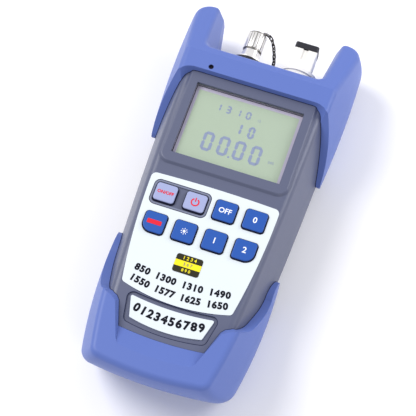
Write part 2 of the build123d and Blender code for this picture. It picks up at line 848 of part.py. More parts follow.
# Boots
outer_rim_radius = 3.0
gap_rim_radius = 2.5
boot_cavity_front = case_front(boot_gap, 4.0 + boot_gap)
boot_cavity_rear = case_rear(boot_gap, 3.0 + boot_gap)
boot_cavity_frame = screen_frame(boot_gap)
upper_levels = ((0, 5.0), (parting_z, 0.0), (shoulder_z, 3.0), (boot_front_z + 0.5, 7.8))
tip_drop = horn_slope * (meter_top_y + 1 - ridge_y)
# Side view of the horns, and of what is cut away in front of and behind the arms
boot_start_y = 10.0
horn_outline = [
    (boot_start_y, 0.0),
    (65.0, 0.0),
    (meter_top_y + 1, 12.3),
    (meter_top_y + 1, boot_front_z - tip_drop),
    (ridge_y, boot_front_z),
    (boot_start_y, boot_front_z),
]
arm_front = [(54.5, 48.0), (51.9, 44.0), (47.6, 38.0), (37.5, 27.4), (27.5, 18.5)]
arm_back = [(27.5, 18.5), (26.6, 16.8), (27.5, 14.0), (32.0, 10.0), (41.0, 5.0), (50.0, 0.0), (50.0, -2.0)]
with BuildSketch(Plane.YZ) as arm_cut:
    with BuildLine():
        Spline(*arm_front)
        Polyline(*arm_back, (boot_start_y - 2, -2.0), (boot_start_y - 2, 48.0), arm_front[0])
    make_face()

# Gap between the horns, narrower toward the back: level, half-width at its root, at its mouth, root
gap_mouth_y = 103.0
gap_levels = (
    (-1.0, 24.5, 30.0, 69.0),
    (22.0, 26.4, 30.7, 75.3),
    (48.0, 30.8, 38.5, 68.3),
)


def gap_section(z, root_half, mouth_half, root_y):
    with BuildSketch(Plane.XY.offset(z)) as plan:
        with BuildLine():
            Polyline(
                (-root_half, root_y),
                (root_half, root_y),
                (mouth_half, gap_mouth_y),
                (-mouth_half, gap_mouth_y),
                close=True,
            )
        make_face()
        fillet(plan.vertices().group_by(Axis.Y)[0], 4.5)
    return plan.sketch


with BuildPart() as gap_block:
    loft([gap_section(*level) for level in gap_levels[:2]], ruled=True)
    loft([gap_section(*level) for level in gap_levels[1:]], ruled=True)

# Rounded opening over the screen: level, half-width, top, corner radius
opening_levels = ((38.0, 34.2, 54.2, 7.0), (47.0, 40.5, 56.0, 10.0))
opening_bottom_y = 30.0


def opening_section(z, half_width, top_y, corner):
    with BuildSketch(Plane.XY.offset(z)) as plan:
        with Locations((0, (top_y + opening_bottom_y) / 2)):
            Rectangle(2 * half_width, top_y - opening_bottom_y)
        fillet(plan.vertices().group_by(Axis.Y)[-1], corner)
    return plan.sketch


with BuildPart() as screen_opening:
    loft([opening_section(*level) for level in opening_levels], ruled=True)


def front_edges(body):
    # Edges of the flat band and of the slope beyond the ridge
    return body.faces().filter_by(lambda f: f.normal_at().Z > 0.85 and f.center().Z > 34).edges()


with BuildPart() as upper_boot:
    loft([section(z, upper_half, inset, meter_top_y, 18.0, 0, 9, 0) for z, inset in upper_levels])
    bottom = upper_boot.faces().sort_by(Axis.Z)[0]
    fillet(bottom.edges().filter_by(lambda e: e.center().Y > 19), 4.0)
    extrude(profile(horn_outline), amount=60, both=True, mode=Mode.INTERSECT)
    add(gap_block.part, mode=Mode.SUBTRACT)
    # Rounded outer rim of the front, from the opening round each horn's tip
    rim = front_edges(upper_boot)
    tips = rim.filter_by(lambda e: abs(e.center().X) > 33 and e.center().Y > 99.5)
    fillet(rim.filter_by(lambda e: abs(e.center().X) > 37) + tips, outer_rim_radius)
    # Rounded edge round the gap between the horns
    rim = front_edges(upper_boot)
    horn_edges = rim.filter_by(lambda e: 26 < abs(e.center().X) < 34 and 69 < e.center().Y < 95)
    root_edge = rim.filter_by(lambda e: abs(e.center().X) < 1 and 69 < e.center().Y < 70)
    fillet(horn_edges + root_edge, gap_rim_radius)
    extrude(arm_cut.sketch, amount=60, both=True, mode=Mode.SUBTRACT)
    add(screen_opening.part, mode=Mode.SUBTRACT)
    add(boot_cavity_front, mode=Mode.SUBTRACT)
    add(boot_cavity_rear, mode=Mode.SUBTRACT)
    add(boot_cavity_frame, mode=Mode.SUBTRACT)
    with BuildSketch(across(64.0)):
        with Locations((screw_port_x, port_z)):
            Circle(9.0)
        with Locations((push_port_x, port_z)):
            Circle(11.2)
    extrude(amount=-16, mode=Mode.SUBTRACT)
    with BuildSketch(Plane.XY.offset(screen_z)):
        with Locations(lamp_place):
            Circle(1.3)
    extrude(amount=8, mode=Mode.SUBTRACT)
write(upper_boot, "upper_boot")

lower_levels = (
    (0, 5.0, -84.0, 6),
    (parting_z, 0.0, -91.0, 7),
    (shoulder_z, 3.0, -97.0, 6),
    (boot_front_z, 7.6, -96.6, 5),
)
# Outline of the lower boot's upper rim from the side, front to back
lower_rim_front = [(-66.5, 46.6), (-62.6, 38.3), (-59.0, 34.0), (-53.0, 30.0), (-47.0, 26.5), (-40.0, 24.5)]
lower_rim_tip = [(-40.0, 24.5), (-33.5, 24.0), (-29.5, 21.5), (-27.3, 18.0), (-28.5, 14.0), (-35.0, 8.0)]
lower_rim_back = [(-51.0, 0.0), (-51.0, -2.0), (-102.0, -2.0), (-102.0, 48.0), (-66.5, 48.0)]
with BuildSketch(Plane.YZ) as lower_profile:
    with BuildLine():
        Spline(*lower_rim_front)
        Spline(*lower_rim_tip)
        Polyline(lower_rim_tip[-1], *lower_rim_back, lower_rim_front[0])
    make_face()

# Notch over the plate under the keys, open toward them: half of its outline at the face and at the rim
notch_face = ((31.8, -60.0), (29.6, -64.2), (25.9, -65.8), (24.4, -67.7), (17.8, -87.2), (15.8, -89.4))
notch_rim = ((33.4, -64.6), (31.6, -67.3), (27.7, -68.8), (25.5, -70.5), (19.1, -87.0), (16.9, -89.5))
notch_levels = ((41.5, notch_face, -91.0), (46.6, notch_rim, -91.7))
notch_open_y = -55.0
# Ramp from the notch's floor up to the rim: level, side and middle of its arc
ramp_levels = ((42.2, -79.0, -81.1), (46.4, -88.2, -91.5))
ramp_half = 26.0


def notch_section(z, points, middle_y):
    with BuildSketch(Plane.XY.offset(z)) as plan:
        with BuildLine():
            left = [(-x, y) for x, y in points]
            Polyline((left[0][0], notch_open_y), *left)
            ThreePointArc(left[-1], (0, middle_y), points[-1])
            Polyline(*reversed(points), (points[0][0], notch_open_y))
            Line((points[0][0], notch_open_y), (left[0][0], notch_open_y))
        make_face()
    return plan.sketch


def ramp_section(z, side_y, middle_y):
    with BuildSketch(Plane.XY.offset(z)) as plan:
        with BuildLine():
            ThreePointArc((-ramp_half, side_y), (0, middle_y), (ramp_half, side_y))
            Polyline((ramp_half, side_y), (ramp_half, -100), (-ramp_half, -100), (-ramp_half, side_y))
        make_face()
    return plan.sketch


with BuildPart() as notch:
    loft([notch_section(*level) for level in notch_levels], ruled=True)
    loft([ramp_section(*level) for level in ramp_levels], ruled=True, mode=Mode.SUBTRACT)
    extrude(ramp_section(*ramp_levels[0]), amount=-2, mode=Mode.SUBTRACT)

with BuildPart() as lower_boot:
    loft([section(z, lower_half, i, -18.0, y, boot_bow, 0, r) for z, i, y, r in lower_levels])
    top = lower_boot.faces().sort_by(Axis.Z)[-1]
    fillet(top.edges().filter_by(lambda e: e.center().Y < -19), 3.0)
    bottom = lower_boot.faces().sort_by(Axis.Z)[0]
    fillet(bottom.edges().filter_by(lambda e: e.center().Y < -19), 4.0)
    extrude(lower_profile.sketch, amount=60, both=True, mode=Mode.INTERSECT)
    add(boot_cavity_front, mode=Mode.SUBTRACT)
    add(boot_cavity_rear, mode=Mode.SUBTRACT)
    add(notch.part, mode=Mode.SUBTRACT)
write(lower_boot, "lower_boot")
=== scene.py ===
import json
import math

import bpy
import numpy
from mathutils import Matrix, Vector
from mathutils.bvhtree import BVHTree


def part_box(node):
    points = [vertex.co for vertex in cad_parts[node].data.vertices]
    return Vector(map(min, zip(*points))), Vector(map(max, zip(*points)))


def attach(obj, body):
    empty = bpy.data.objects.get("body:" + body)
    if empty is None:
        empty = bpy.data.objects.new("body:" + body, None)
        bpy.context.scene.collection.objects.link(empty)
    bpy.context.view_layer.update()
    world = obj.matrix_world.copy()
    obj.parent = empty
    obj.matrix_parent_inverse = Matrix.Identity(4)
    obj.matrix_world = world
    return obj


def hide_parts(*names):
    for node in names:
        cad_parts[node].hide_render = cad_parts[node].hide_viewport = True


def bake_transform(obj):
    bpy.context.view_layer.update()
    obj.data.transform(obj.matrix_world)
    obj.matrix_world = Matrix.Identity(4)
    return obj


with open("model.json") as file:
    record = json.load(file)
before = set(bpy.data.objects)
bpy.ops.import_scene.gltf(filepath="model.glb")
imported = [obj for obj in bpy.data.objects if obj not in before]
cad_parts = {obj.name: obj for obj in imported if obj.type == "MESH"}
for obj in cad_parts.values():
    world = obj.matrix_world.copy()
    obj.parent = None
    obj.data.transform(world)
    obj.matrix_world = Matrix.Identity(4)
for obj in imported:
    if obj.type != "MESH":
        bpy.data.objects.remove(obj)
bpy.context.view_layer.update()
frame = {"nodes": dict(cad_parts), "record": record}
nodes = frame["nodes"]
mm = 0.001
mergeReach = 0.000002
cornerSteps = 6
softEdge = {"fine": 0.05, "steps": 2, "angle": 40}
textStyle = {"capShare": 0.72, "curveSteps": 3}


# Small helpers shared by all pieces
def clearSelection():
    for item in bpy.context.selected_objects:
        item.select_set(False)


def pickOnly(item):
    clearSelection()
    item.select_set(True)
    bpy.context.view_layer.objects.active = item


def millimetres(values):
    return tuple(value * mm for value in values)


def selectParts(item, kind, test):
    # Opens edit mode on the piece with only the parts that pass the test selected
    pickOnly(item)
    bpy.ops.object.mode_set(mode="EDIT")
    bpy.ops.mesh.select_mode(type=kind)
    bpy.ops.mesh.select_all(action="DESELECT")
    bpy.ops.object.mode_set(mode="OBJECT")
    parts = {"VERT": item.data.vertices, "EDGE": item.data.edges, "FACE": item.data.polygons}[kind]
    for part in parts:
        part.select = test(part)
    bpy.ops.object.mode_set(mode="EDIT")


def leaveEdit():
    bpy.ops.object.mode_set(mode="OBJECT")


def settle(item):
    # Moves the piece's place, turn and size into its mesh
    pickOnly(item)
    bpy.ops.object.transform_apply(location=True, rotation=True, scale=True)


def tidyMesh(item):
    pickOnly(item)
    bpy.ops.object.mode_set(mode="EDIT")
    bpy.ops.mesh.select_all(action="SELECT")
    bpy.ops.mesh.remove_doubles(threshold=mergeReach)
    bpy.ops.mesh.normals_make_consistent(inside=False)
    leaveEdit()


def flatFace(size, place=(0, 0, 0)):
    bpy.ops.mesh.primitive_plane_add(size=1, location=millimetres(place))
    item = bpy.context.object
    item.scale = (size[0] * mm, size[1] * mm, 1)
    settle(item)
    return item


def thicken(item, thick, side=1):
    # The wall grows outwards at side 1, inwards at -1 and both ways at 0
    pickOnly(item)
    wall = item.modifiers.new("wall", "SOLIDIFY")
    wall.thickness = thick
    wall.offset = side
    bpy.ops.object.modifier_apply(modifier=wall.name)


def softenEdges(item, width=softEdge["fine"]):
    pickOnly(item)
    soft = item.modifiers.new("softEdge", "BEVEL")
    soft.width = width * mm
    soft.segments = softEdge["steps"]
    soft.limit_method = "ANGLE"
    bpy.ops.object.modifier_apply(modifier=soft.name)
    bpy.ops.object.shade_smooth_by_angle(angle=math.radians(softEdge["angle"]))


def copyTo(item, matrix):
    twin = item.copy()
    twin.data = item.data.copy()
    bpy.context.collection.objects.link(twin)
    twin.matrix_world = matrix
    return twin


def joinAll(items):
    clearSelection()
    for item in items:
        item.select_set(True)
    bpy.context.view_layer.objects.active = items[0]
    bpy.ops.object.transform_apply(location=True, rotation=True, scale=True)
    if len(items) > 1:
        bpy.ops.object.join()
    return bpy.context.view_layer.objects.active


def finishPiece(item, name, finish, body="meter"):
    # A piece with no body is attached to none
    settle(item)
    item.name = name
    item.data.name = name
    item.data.materials.clear()
    item.data.materials.append(materials[finish])
    if body:
        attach(item, body)


def roundedSheet(size, place, corners):
    # Flat face with its own radius at each corner, read as {(side x, side y): radius}
    item = flatFace(size, place)
    for radius in sorted(set(corners.values())):
        sides = [side for side, value in corners.items() if value == radius]
        spots = [
            Vector(millimetres((place[0] + x * size[0] / 2, place[1] + y * size[1] / 2, place[2])))
            for x, y in sides
        ]
        selectParts(item, "VERT", lambda v: any((v.co - spot).length < mergeReach for spot in spots))
        bpy.ops.mesh.bevel(offset=radius * mm, segments=cornerSteps, affect="VERTICES")
        leaveEdit()
    return item


def evenCorners(radius):
    return {(x, y): radius for x in (-1, 1) for y in (-1, 1)}


def roundedRing(size, place, corners, band, thick):
    item = roundedSheet(size, place, corners)
    selectParts(item, "FACE", lambda f: True)
    bpy.ops.mesh.inset(thickness=band * mm, depth=0)
    bpy.ops.mesh.delete(type="FACE")
    leaveEdit()
    thicken(item, thick * mm)
    tidyMesh(item)
    return item


def roundedPlate(size, place, corners, thick):
    item = roundedSheet(size, place, corners)
    thicken(item, thick * mm)
    return item


def printedText(text, place, height, thick, weight=0.0, turn=0.0):
    # Raised print: capitals of the given height in millimetres, centred on the place
    bpy.ops.object.text_add(location=millimetres(place), rotation=(0, 0, turn))
    item = bpy.context.object
    item.data.body = text
    item.data.size = height * mm / textStyle["capShare"]
    item.data.align_x = "CENTER"
    item.data.align_y = "CENTER"
    item.data.resolution_u = textStyle["curveSteps"]
    item.data.offset = weight * mm
    item.data.extrude = thick * mm / 2
    pickOnly(item)
    bpy.ops.object.convert(target="MESH")
    item = bpy.context.object
    tidyMesh(item)
    settle(item)
    return item


clearSelection()

# Camera and room
camera = {
    "place": (0.09705, -0.29845, 0.7255),
    "target": (-0.00440, -0.00119, 0.01736),
    "lens": 138.46,
    "sensor": 36,
    "clipStart": 0.01,
}
room = {
    "floorSize": 6.0,
    "floorLevel": -0.0002,
    "lightTarget": (0, 0, 0.02),
    "floorColor": (0.98, 0.975, 0.99),
    "floorSecond": (0.975, 0.97, 0.985),
    "worldColor": (0.93, 0.94, 1.0, 1),
    "worldStrength": 0.57,
}
lights = [
    {
        "name": "keyLight", "place": (-1.02, 0.20, 1.25),
        "size": 0.95, "power": 19.0, "color": (1.0, 0.99, 0.98),
    },
    {
        "name": "sideLight", "place": (0.50, 0.38, 0.36),
        "size": 0.40, "power": 2.4, "color": (0.97, 0.97, 1.0),
    },
    {
        "name": "frontLight", "place": (0.70, -0.90, 0.90),
        "size": 0.60, "power": 2.0, "color": (1.0, 1.0, 1.0),
    },
]


def aimAt(item, target):
    direction = Vector(target) - item.location
    item.rotation_euler = direction.to_track_quat("-Z", "Y").to_euler()


def makeCamera():
    bpy.ops.object.camera_add(location=camera["place"])
    eye = bpy.context.object
    eye.data.lens = camera["lens"]
    eye.data.sensor_width = camera["sensor"]
    eye.data.clip_start = camera["clipStart"]
    aimAt(eye, camera["target"])
    bpy.context.scene.camera = eye
    bpy.context.scene.view_settings.view_transform = "Standard"


def makeLights():
    for setting in lights:
        bpy.ops.object.light_add(type="AREA", location=setting["place"])
        lamp = bpy.context.object
        lamp.name = setting["name"]
        lamp.data.shape = "DISK"
        lamp.data.size = setting["size"]
        lamp.data.energy = setting["power"]
        lamp.data.color = setting["color"]
        aimAt(lamp, room["lightTarget"])
    world = bpy.data.worlds.new("studio")
    bpy.context.scene.world = world
    world.use_nodes = True
    background = world.node_tree.nodes["Background"]
    background.inputs["Color"].default_value = room["worldColor"]
    background.inputs["Strength"].default_value = room["worldStrength"]


# Finishes: colour, a second colour it drifts to, roughness, and the size and depth of its grain.
# A band is a stretch along one axis, in millimetres, painted in another colour.
# Painted shade: a darker band on the boot along the crease at its widest line, from z 15.35 to 15.65 mm
creaseShadeBand = {"axis": "Z", "low": 15.35, "high": 15.65, "color": (0.10, 0.14, 0.42)}
# Painted shade: the sides of the blue and pale keys, everything below their tops, are painted dark as if in
# shadow
keySideShade = {"axis": "Z", "low": 0.0, "high": 42.95, "color": (0.004, 0.010, 0.06)}
paleKeySideShade = {"axis": "Z", "low": 0.0, "high": 42.85, "color": (0.03, 0.035, 0.09)}
cellBands = [
    {"axis": "Y", "low": -40.0, "high": -30.0, "color": (0.30, 0.31, 0.33)},
    {"axis": "Y", "low": -29.4, "high": -28.9, "color": (0.75, 0.76, 0.78)},
]
finishes = {
    "boot": {
        "color": (0.114, 0.174, 0.485), "second": (0.107, 0.165, 0.465), "roughness": 0.42,
        "scale": 900, "bump": 0.05, "bands": [creaseShadeBand],
    },
    "housing": {
        "color": (0.104, 0.117, 0.188), "second": (0.098, 0.110, 0.178), "roughness": 0.36,
        "scale": 1100, "bump": 0.008, "gloss": 0.45,
    },
    "rear_case": {
        "color": (0.104, 0.117, 0.188), "second": (0.098, 0.110, 0.178), "roughness": 0.42,
        "scale": 1400, "bump": 0.04,
    },
    "overlay": {
        "color": (0.73, 0.79, 0.82), "second": (0.71, 0.77, 0.81), "roughness": 0.32,
        "scale": 1800, "bump": 0.01,
    },
    "plate": {
        "color": (0.73, 0.79, 0.82), "second": (0.71, 0.77, 0.81), "roughness": 0.35,
        "scale": 1500, "bump": 0.01,
    },
    "sticker": {
        "gloss": 0.08, "color": (0.03, 0.03, 0.02), "second": (0.04, 0.035, 0.02), "roughness": 0.35,
        "scale": 900, "bump": 0.01,
    },
    "blue_key": {
        "color": (0.018, 0.092, 0.40), "second": (0.016, 0.084, 0.375), "roughness": 0.42,
        "scale": 1600, "bump": 0.03, "bands": [keySideShade],
    },
    "pale_key": {
        "color": (0.35, 0.39, 0.62), "second": (0.335, 0.375, 0.60), "roughness": 0.45,
        "scale": 1600, "bump": 0.03, "bands": [paleKeySideShade],
    },
    "panel": {
        "color": (0.51, 0.62, 0.42), "second": (0.495, 0.605, 0.44),
        "roughness": 0.40, "scale": 500,
    },
    "backlight": {
        "color": (0.80, 0.85, 0.75), "second": (0.78, 0.83, 0.73),
        "roughness": 0.5, "scale": 500,
    },
    "black_plastic": {
        "color": (0.018, 0.018, 0.024), "second": (0.03, 0.03, 0.036), "roughness": 0.4,
        "scale": 1500, "bump": 0.03,
    },
    "strip_rubber": {
        "color": (0.25, 0.25, 0.28), "second": (0.22, 0.22, 0.25), "roughness": 0.6,
        "scale": 1500, "bump": 0.03,
    },
    "board": {
        "color": (0.02, 0.16, 0.06), "second": (0.015, 0.13, 0.05), "roughness": 0.4,
        "scale": 700, "bump": 0.02,
    },
    "ceramic": {
        "color": (0.85, 0.85, 0.82), "second": (0.82, 0.82, 0.79),
        "roughness": 0.25, "scale": 900,
    },
    "lamp": {
        "gloss": 0.05, "color": (0.015, 0.012, 0.02), "second": (0.02, 0.015, 0.03),
        "roughness": 0.6, "scale": 900,
    },
    "cell": {
        "color": (0.03, 0.03, 0.035), "second": (0.05, 0.05, 0.055), "roughness": 0.35,
        "scale": 900, "bands": cellBands,
    },
    "push_body": {
        "color": (0.86, 0.84, 0.79), "second": (0.84, 0.82, 0.77), "roughness": 0.35,
        "scale": 900, "bump": 0.01,
    },
    # Painted shade: near-black finish for pieces set where gaps, holes and recesses lie in shadow
    "gapShadow": {
        "gloss": 0.05, "color": (0.012, 0.014, 0.035), "second": (0.02, 0.022, 0.05), "roughness": 0.6,
        "scale": 1500, "bump": 0.02,
    },
    # Painted shade: dark blue for lines laid along the gaps where the boots and the lower plate meet the
    # case
    "seamShadow": {
        "gloss": 0.1, "color": (0.014, 0.020, 0.065), "second": (0.018, 0.025, 0.075), "roughness": 0.6,
        "scale": 1500, "bump": 0.02,
    },
    "blackPrint": {
        "gloss": 0.05, "color": (0.008, 0.008, 0.014), "second": (0.012, 0.012, 0.02),
        "roughness": 0.45, "scale": 2500,
    },
    "whitePrint": {
        "gloss": 0.05, "color": (0.90, 0.92, 0.97), "second": (0.86, 0.88, 0.95),
        "roughness": 0.45, "scale": 2500,
    },
    "redPrint": {
        "gloss": 0.05, "color": (0.75, 0.03, 0.05), "second": (0.68, 0.025, 0.045),
        "roughness": 0.45, "scale": 2500,
    },
    "yellowPrint": {
        "gloss": 0.05, "color": (0.93, 0.80, 0.03), "second": (0.88, 0.76, 0.03),
        "roughness": 0.4, "scale": 2500,
    },
    "greyPrint": {
        "gloss": 0.05, "color": (0.20, 0.19, 0.17), "second": (0.25, 0.24, 0.21),
        "roughness": 0.45, "scale": 2500,
    },
    "digitInk": {
        "gloss": 0.05, "color": (0.33, 0.39, 0.53), "second": (0.31, 0.37, 0.50),
        "roughness": 0.5, "scale": 2500,
    },
    "screenMargin": {
        "color": (0.60, 0.56, 0.66), "second": (0.58, 0.54, 0.64),
        "roughness": 0.5, "scale": 900,
    },
    # Painted highlight: a lighter grey-blue standing in for light on the rounded rim round the pair recess
    "recessRimHighlight": {
        "color": (0.20, 0.22, 0.31), "second": (0.18, 0.20, 0.29),
        "roughness": 0.4, "scale": 1400,
    },
}
metals = {
    "steel": {
        "color": (0.62, 0.62, 0.64), "second": (0.52, 0.52, 0.55),
        "roughness": 0.32, "scale": 1200,
    },
    "nickel": {
        "color": (0.90, 0.88, 0.85), "second": (0.86, 0.84, 0.80),
        "roughness": 0.34, "scale": 1200, "metallic": 0.6,
    },
    # Painted shade: a darker copy of the nickel for the cap's body, which shows in the grooves between its
    # ribs
    "grooveShadeNickel": {
        "color": (0.30, 0.28, 0.26), "second": (0.27, 0.26, 0.24),
        "roughness": 0.4, "scale": 1200,
    },
    "chainSteel": {
        "color": (0.10, 0.09, 0.08), "second": (0.06, 0.055, 0.05),
        "roughness": 0.35, "scale": 1500,
    },
}
materials = {}
grainStyle = {"gloss": 0.3, "detail": 4, "broadScale": 18, "roughSpread": 0.05, "bumpDepth": 0.0002}
paneStyle = {
    "color": (0.97, 0.97, 0.99, 1), "scale": 60, "roughness": (0.04, 0.1),
    "blend": 0.35, "sheen": (0.02, 0.30),
}


def paintBands(tree, place, color, bands):
    # Lays each band's colour over the colour socket, between its two levels along its axis
    parts = tree.nodes.new("ShaderNodeSeparateXYZ")
    tree.links.new(place.outputs["Object"], parts.inputs["Vector"])
    for band in bands:
        above = tree.nodes.new("ShaderNodeMath")
        above.operation = "GREATER_THAN"
        above.inputs[1].default_value = band["low"] * mm
        below = tree.nodes.new("ShaderNodeMath")
        below.operation = "LESS_THAN"
        below.inputs[1].default_value = band["high"] * mm
        inside = tree.nodes.new("ShaderNodeMath")
        inside.operation = "MULTIPLY"
        mix = tree.nodes.new("ShaderNodeMix")
        mix.data_type = "RGBA"
        mix.inputs["B"].default_value = (*band["color"], 1)
        tree.links.new(parts.outputs[band["axis"]], above.inputs[0])
        tree.links.new(parts.outputs[band["axis"]], below.inputs[0])
        tree.links.new(above.outputs["Value"], inside.inputs[0])
        tree.links.new(below.outputs["Value"], inside.inputs[1])
        tree.links.new(inside.outputs["Value"], mix.inputs["Factor"])
        tree.links.new(color, mix.inputs["A"])
        color = mix.outputs["Result"]
    return color


def grainMaterial(name, setting, metallic):
    material = bpy.data.materials.new(name)
    material.use_nodes = True
    tree = material.node_tree
    shader = tree.nodes["Principled BSDF"]
    shader.inputs["Metallic"].default_value = metallic
    shader.inputs["Specular IOR Level"].default_value = setting.get("gloss", grainStyle["gloss"])
    place = tree.nodes.new("ShaderNodeTexCoord")
    grain = tree.nodes.new("ShaderNodeTexNoise")
    grain.inputs["Scale"].default_value = setting["scale"]
    grain.inputs["Detail"].default_value = grainStyle["detail"]
    broad = tree.nodes.new("ShaderNodeTexNoise")
    broad.inputs["Scale"].default_value = grainStyle["broadScale"]
    mix = tree.nodes.new("ShaderNodeMix")
    mix.data_type = "RGBA"
    mix.inputs["A"].default_value = (*setting["color"], 1)
    mix.inputs["B"].default_value = (*setting["second"], 1)
    tree.links.new(place.outputs["Object"], grain.inputs["Vector"])
    tree.links.new(place.outputs["Object"], broad.inputs["Vector"])
    tree.links.new(broad.outputs["Fac"], mix.inputs["Factor"])
    color = paintBands(tree, place, mix.outputs["Result"], setting.get("bands", []))
    tree.links.new(color, shader.inputs["Base Color"])
    rough = tree.nodes.new("ShaderNodeMapRange")
    rough.inputs["To Min"].default_value = setting["roughness"] - grainStyle["roughSpread"]
    rough.inputs["To Max"].default_value = setting["roughness"] + grainStyle["roughSpread"]
    tree.links.new(grain.outputs["Fac"], rough.inputs["Value"])
    tree.links.new(rough.outputs["Result"], shader.inputs["Roughness"])
    if setting.get("bump"):
        bump = tree.nodes.new("ShaderNodeBump")
        bump.inputs["Strength"].default_value = setting["bump"]
        bump.inputs["Distance"].default_value = grainStyle["bumpDepth"]
        tree.links.new(grain.outputs["Fac"], bump.inputs["Height"])
        tree.links.new(bump.outputs["Normal"], shader.inputs["Normal"])
    materials[name] = material
    return material


def glassMaterial():
    # Clear window: mostly see-through, with a faint gloss over it
    material = bpy.data.materials.new("pane")
    material.use_nodes = True
    tree = material.node_tree
    tree.nodes.remove(tree.nodes["Principled BSDF"])
    output = tree.nodes["Material Output"]
    clear = tree.nodes.new("ShaderNodeBsdfTransparent")
    clear.inputs["Color"].default_value = paneStyle["color"]
    gloss = tree.nodes.new("ShaderNodeBsdfGlossy")
    place = tree.nodes.new("ShaderNodeTexCoord")
    smear = tree.nodes.new("ShaderNodeTexNoise")
    smear.inputs["Scale"].default_value = paneStyle["scale"]
    rough = tree.nodes.new("ShaderNodeMapRange")
    rough.inputs["To Min"].default_value = paneStyle["roughness"][0]
    rough.inputs["To Max"].default_value = paneStyle["roughness"][1]
    facing = tree.nodes.new("ShaderNodeLayerWeight")
    facing.inputs["Blend"].default_value = paneStyle["blend"]
    edge = tree.nodes.new("ShaderNodeMapRange")
    edge.inputs["To Min"].default_value = paneStyle["sheen"][0]
    edge.inputs["To Max"].default_value = paneStyle["sheen"][1]
    mix = tree.nodes.new("ShaderNodeMixShader")
    tree.links.new(place.outputs["Object"], smear.inputs["Vector"])
    tree.links.new(smear.outputs["Fac"], rough.inputs["Value"])
    tree.links.new(rough.outputs["Result"], gloss.inputs["Roughness"])
    tree.links.new(facing.outputs["Facing"], edge.inputs["Value"])
    tree.links.new(edge.outputs["Result"], mix.inputs["Fac"])
    tree.links.new(clear.outputs["BSDF"], mix.inputs[1])
    tree.links.new(gloss.outputs["BSDF"], mix.inputs[2])
    tree.links.new(mix.outputs["Shader"], output.inputs["Surface"])
    materials["pane"] = material


def makeMaterials():
    for name, setting in finishes.items():
        grainMaterial(name, setting, 0.0)
    for name, setting in metals.items():
        grainMaterial(name, setting, setting.get("metallic", 1.0))
    glassMaterial()


# The screw cap's body takes the darker nickel, painted shade in its grooves
ownFinish = {"screw_cap": "grooveShadeNickel"}


def dressNodes():
    slotOf = {entry["node"]: entry["material_slot"] for entry in frame["record"]["subparts"]}
    for name, item in nodes.items():
        material = materials[ownFinish.get(name, slotOf[name])]
        if not item.data.materials:
            item.data.materials.append(material)
        for place in range(len(item.data.materials)):
            item.data.materials[place] = material


def makeFloor():
    bpy.ops.mesh.primitive_plane_add(size=room["floorSize"], location=(0, 0, room["floorLevel"]))
    floor = bpy.context.object
    floor.name = "floor"
    setting = {"color": room["floorColor"], "second": room["floorSecond"], "roughness": 0.6, "scale": 3}
    floor.data.materials.append(grainMaterial("floorPaint", setting, 0.0))


makeCamera()
makeLights()
makeMaterials()
dressNodes()
makeFloor()
print("room and finishes ready")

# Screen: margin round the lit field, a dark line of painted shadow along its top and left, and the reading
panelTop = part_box("screen_panel")[1][2] / mm
screen = {
    "middle": (0.0, 30.1),
    "size": (54.8, 40.0),
    "fieldX": (-25.2, 25.4),
    "fieldY": (10.9, 47.6),
    "marginThick": 0.06,
    "marginBand": 1.0,
    "innerReach": 0.5,
    "lift": 0.01,
    "inkThick": 0.05,
}
screenShadowLines = {
    "width": 0.35, "lift": 0.08, "corner": 0.1,
    "topY": 49.4, "topLength": 53.4, "leftX": -26.8, "leftLength": 38.4,
}
segmentShape = {"point": 0.42, "uprightCut": 0.6}
readings = [
    {
        "text": "0000", "middles": (-12.6, -4.6, 3.3, 11.4),
        "y": 22.2, "width": 5.4, "height": 10.3, "stroke": 1.5,
    },
    {
        "text": "1310", "middles": (-13.4, -8.3, -3.4, 1.75),
        "y": 41.4, "width": 2.6, "height": 4.2, "stroke": 0.85,
    },
    {"text": "1", "middles": (-0.45,), "y": 33.3, "width": 2.9, "height": 6.6, "stroke": 1.2},
    {"text": "0", "middles": (5.85,), "y": 33.0, "width": 3.3, "height": 6.6, "stroke": 1.2},
]
smallMarks = [
    {"text": "12", "place": (7.4, 40.3), "height": 1.3},
    {"text": "345", "place": (19.5, 20.9), "height": 1.5},
]
decimalDot = {"place": (-0.6, 17.4), "size": 1.0, "corner": 0.3}
segmentsLit = {"0": "abcdef", "1": "bc", "3": "abcdg"}
segmentPlaces = {
    "a": (0, 1, 0), "g": (0, 0, 0), "d": (0, -1, 0),
    "b": (1, 0.5, 1), "c": (1, -0.5, 1), "e": (-1, -0.5, 1), "f": (-1, 0.5, 1),
}


def makeScreenMargin():
    item = flatFace(screen["size"], (*screen["middle"], panelTop + screen["lift"]))
    selectParts(item, "FACE", lambda face: True)
    bpy.ops.mesh.inset(thickness=screen["marginBand"] * mm)
    bpy.ops.mesh.delete(type="ONLY_FACE")
    leaveEdit()
    # The inner corners go to the corners of the lit field
    for vertex in item.data.vertices:
        if abs(vertex.co.x) < (screen["size"][0] / 2 - screen["innerReach"]) * mm:
            vertex.co.x = screen["fieldX"][vertex.co.x > 0] * mm
            vertex.co.y = screen["fieldY"][vertex.co.y > screen["middle"][1] * mm] * mm
    thicken(item, screen["marginThick"] * mm)
    finishPiece(item, "screenMargin", "screenMargin")


def makeScreenShadowLines():
    # Painted shadow: thin dark strips along the top and left edges of the screen's opening
    z = panelTop + screenShadowLines["lift"]
    width = screenShadowLines["width"]
    corners = evenCorners(screenShadowLines["corner"])
    topPlace = (0, screenShadowLines["topY"], z)
    leftPlace = (screenShadowLines["leftX"], screen["middle"][1], z)
    top = roundedPlate((screenShadowLines["topLength"], width), topPlace, corners, screen["inkThick"])
    left = roundedPlate((width, screenShadowLines["leftLength"]), leftPlace, corners, screen["inkThick"])
    finishPiece(joinAll([top, left]), "screenShadowLines", "gapShadow")


